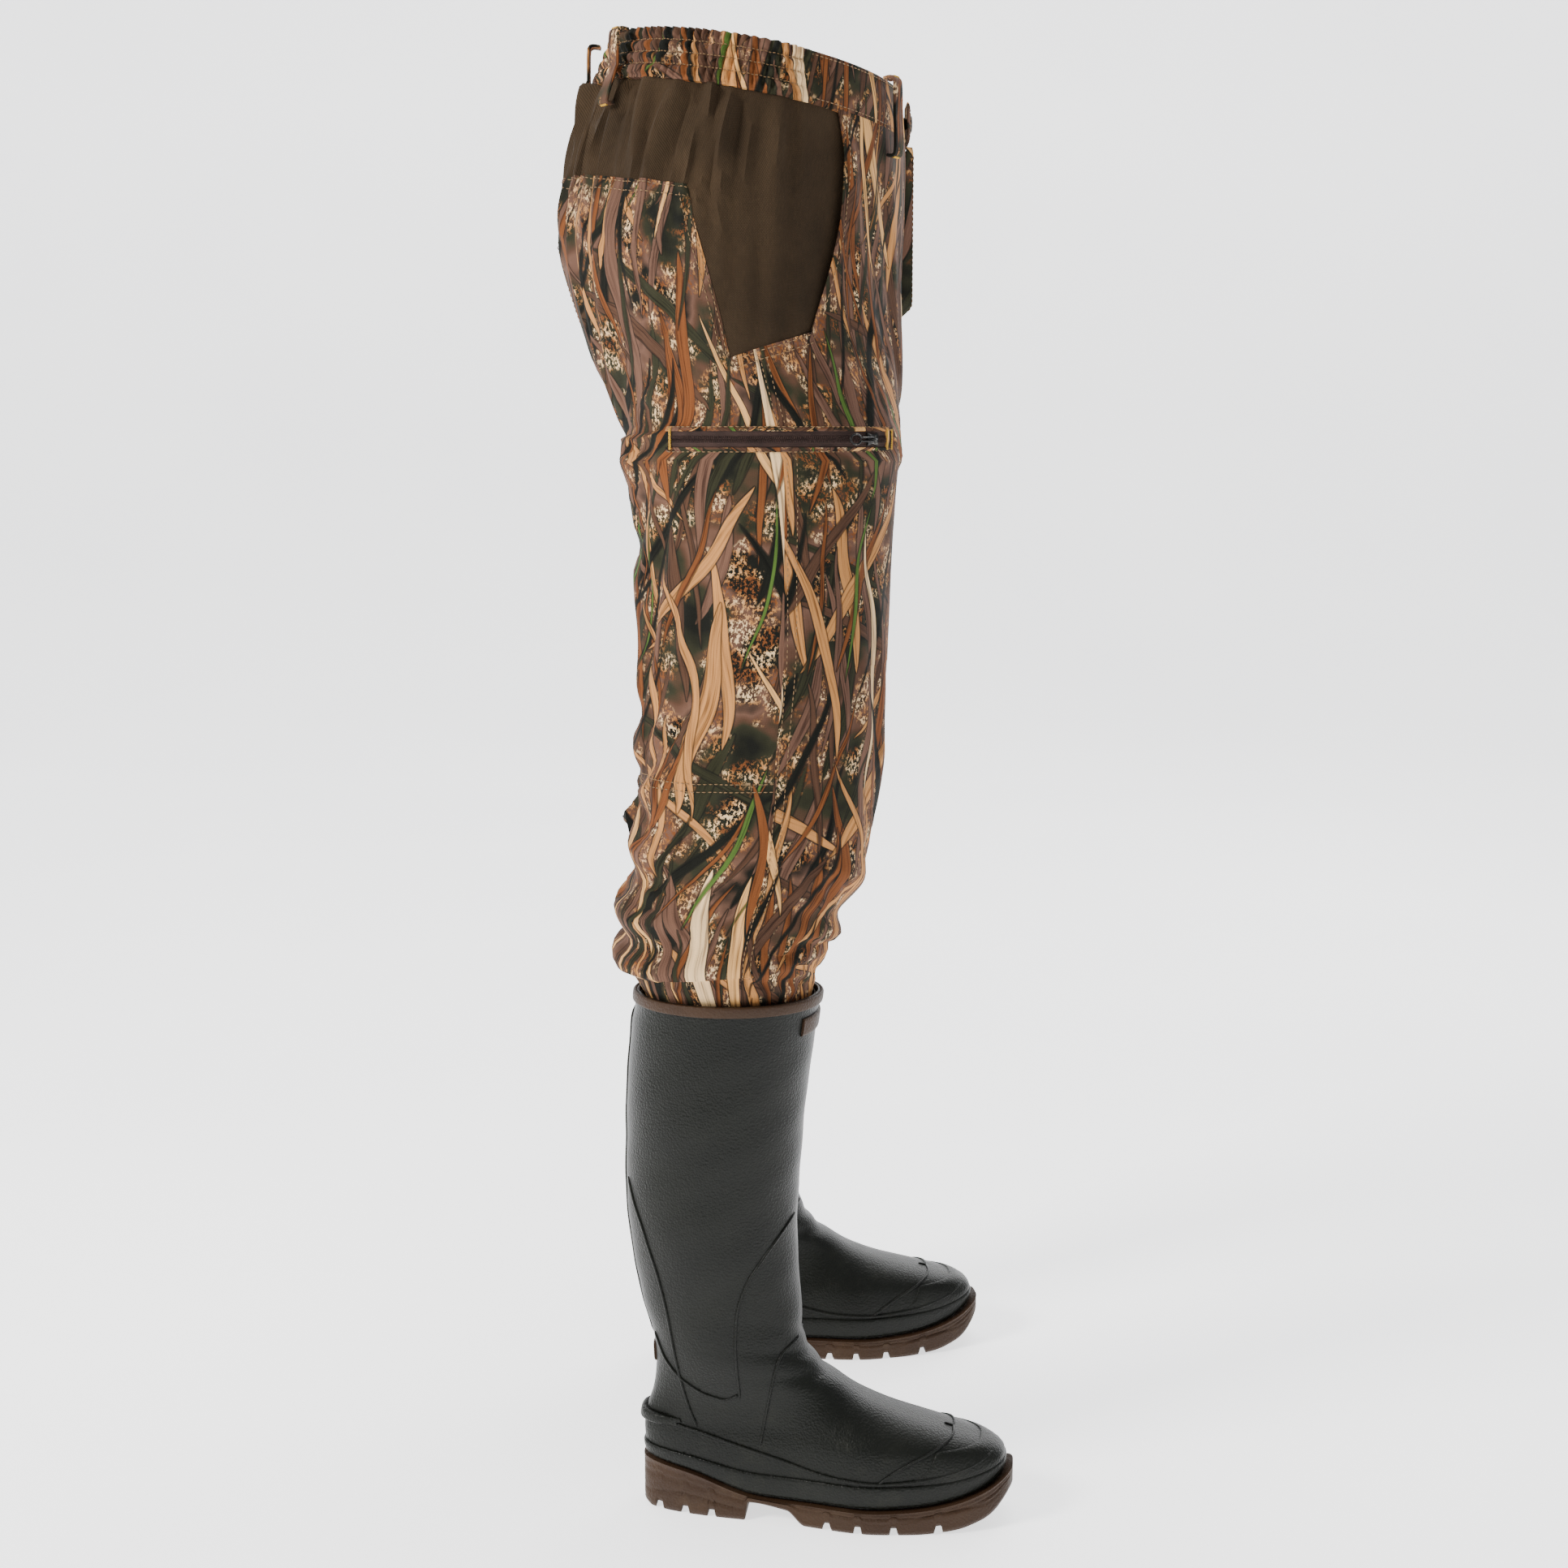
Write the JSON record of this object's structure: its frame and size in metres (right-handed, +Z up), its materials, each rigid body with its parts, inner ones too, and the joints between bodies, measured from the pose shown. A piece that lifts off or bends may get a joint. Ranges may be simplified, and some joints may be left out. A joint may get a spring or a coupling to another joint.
{
  "type": "trouser waders",
  "caption": "Waist-high trouser waders: camouflage trousers with belt loops, snap and zip fly and thigh zip pockets, running into knee-high moulded rubber boots.",
  "frame": {"origin": "on the ground under the middle of the bounding box, midway between the boots", "axes": "+X towards the toes, +Y to the wearer's left, +Z up; the object is mirror symmetric about the XZ plane apart from its front closure"},
  "size_m": [0.3848, 0.4674, 1.231],
  "materials": {
    "camo_fabric": "matt printed woven fabric, reed camouflage in tan, rust, brown and green",
    "brown_twill": "matt dark brown twill",
    "elastic": "ribbed woven elastic",
    "zip_tape": "dark brown woven zip tape",
    "zip_metal": "blackened metal, worn at the edges",
    "snap_metal": "dark satin metal",
    "lining": "plain matt lining cloth",
    "rubber": "satin moulded rubber, fine pebbled grain",
    "brown_rubber": "satin brown rubber",
    "insole_foam": "felted foam"
  },
  "bodies": {
    "trousers": {"waistband": "camo_fabric", "waist_facing": "lining", "waist_elastic": "elastic", "belt_loop_back": "camo_fabric", "belt_loop_side_left": "camo_fabric", "belt_loop_side_right": "camo_fabric", "belt_loop_front_left": "camo_fabric", "belt_loop_front_right": "camo_fabric", "snap_stud": "snap_metal", "fly_flap": "camo_fabric", "fly_zip_tape": "zip_tape", "front_panel_left": "camo_fabric", "yoke_panel_left": "brown_twill", "seat_panel_left": "camo_fabric", "hand_pocket_bag_left": "lining", "hip_section_left": "camo_fabric", "front_panel_right": "camo_fabric", "yoke_panel_right": "brown_twill", "seat_panel_right": "camo_fabric", "hand_pocket_bag_right": "lining", "hip_section_right": "camo_fabric"},
    "waist_tab": {"waist_tab": "camo_fabric", "snap_cap": "snap_metal"},
    "fly_slider": {"fly_slider": "zip_metal"},
    "fly_puller": {"fly_puller": "zip_metal"},
    "thigh_left": {"thigh_front_left": "camo_fabric", "thigh_back_left": "camo_fabric", "zip_tape_left": "zip_tape", "zip_pocket_bag_left": "lining", "knee_section_left": "camo_fabric"},
    "zip_slider_left": {"zip_slider_left": "zip_metal"},
    "zip_puller_left": {"zip_puller_left": "zip_metal"},
    "shin_left": {"leg_cuff_left": "camo_fabric", "boot_upper_left": "rubber", "boot_binding_left": "brown_rubber", "boot_lining_left": "lining", "insole_left": "insole_foam", "outsole_left": "brown_rubber", "toe_cap_left": "rubber", "rand_left": "rubber", "heel_spur_left": "rubber", "boot_badge_left": "brown_rubber"},
    "thigh_right": {"thigh_front_right": "camo_fabric", "thigh_back_right": "camo_fabric", "zip_tape_right": "zip_tape", "zip_pocket_bag_right": "lining", "knee_section_right": "camo_fabric"},
    "zip_slider_right": {"zip_slider_right": "zip_metal"},
    "zip_puller_right": {"zip_puller_right": "zip_metal"},
    "shin_right": {"leg_cuff_right": "camo_fabric", "boot_upper_right": "rubber", "boot_binding_right": "brown_rubber", "boot_lining_right": "lining", "insole_right": "insole_foam", "outsole_right": "brown_rubber", "toe_cap_right": "rubber", "rand_right": "rubber", "heel_spur_right": "rubber", "boot_badge_right": "brown_rubber"}
  },
  "joints": [
    {"name": "waist_tab_hinge", "type": "hinge", "parent": "trousers", "child": "waist_tab", "pos_m": [0.1045, 0.034, 1.166], "axis": [0, 0, 1], "range_deg": [0, 75]},
    {"name": "fly_slider_slide", "type": "slide", "parent": "trousers", "child": "fly_slider", "axis": [0, 0, -1], "range_m": [0, 0.085]},
    {"name": "fly_puller_hinge", "type": "hinge", "parent": "fly_slider", "child": "fly_puller", "pos_m": [0.1062, 0, 1.1247], "axis": [0, -1, 0], "range_deg": [0, 4]},
    {"name": "hip_left", "type": "hinge", "parent": "trousers", "child": "thigh_left", "pos_m": [-0.02, 0, 0.96], "axis": [0, -1, 0], "range_deg": [-15, 50], "deforming": ["hip_section_left"]},
    {"name": "knee_left", "type": "hinge", "parent": "thigh_left", "child": "shin_left", "pos_m": [-0.02, 0, 0.555], "axis": [0, 1, 0], "range_deg": [0, 75], "deforming": ["knee_section_left"]},
    {"name": "thigh_zip_left", "type": "hinge", "parent": "thigh_left", "child": "zip_slider_left", "pos_m": [-0.0195, 0.0815, 0.901], "axis": [0, 0, 1], "range_deg": [0, 78]},
    {"name": "zip_puller_hinge_left", "type": "hinge", "parent": "zip_slider_left", "child": "zip_puller_left", "pos_m": [0.07221, 0.16702, 0.901], "axis": [0, 0, -1], "range_deg": [0, 100]},
    {"name": "hip_right", "type": "hinge", "parent": "trousers", "child": "thigh_right", "pos_m": [-0.02, 0, 0.96], "axis": [0, -1, 0], "range_deg": [-15, 50], "deforming": ["hip_section_right"]},
    {"name": "knee_right", "type": "hinge", "parent": "thigh_right", "child": "shin_right", "pos_m": [-0.02, 0, 0.555], "axis": [0, 1, 0], "range_deg": [0, 75], "deforming": ["knee_section_right"]},
    {"name": "thigh_zip_right", "type": "hinge", "parent": "thigh_right", "child": "zip_slider_right", "pos_m": [-0.0195, -0.0815, 0.901], "axis": [0, 0, -1], "range_deg": [0, 78]},
    {"name": "zip_puller_hinge_right", "type": "hinge", "parent": "zip_slider_right", "child": "zip_puller_right", "pos_m": [0.07221, -0.16702, 0.901], "axis": [0, 0, 1], "range_deg": [0, 100]}
  ]
}
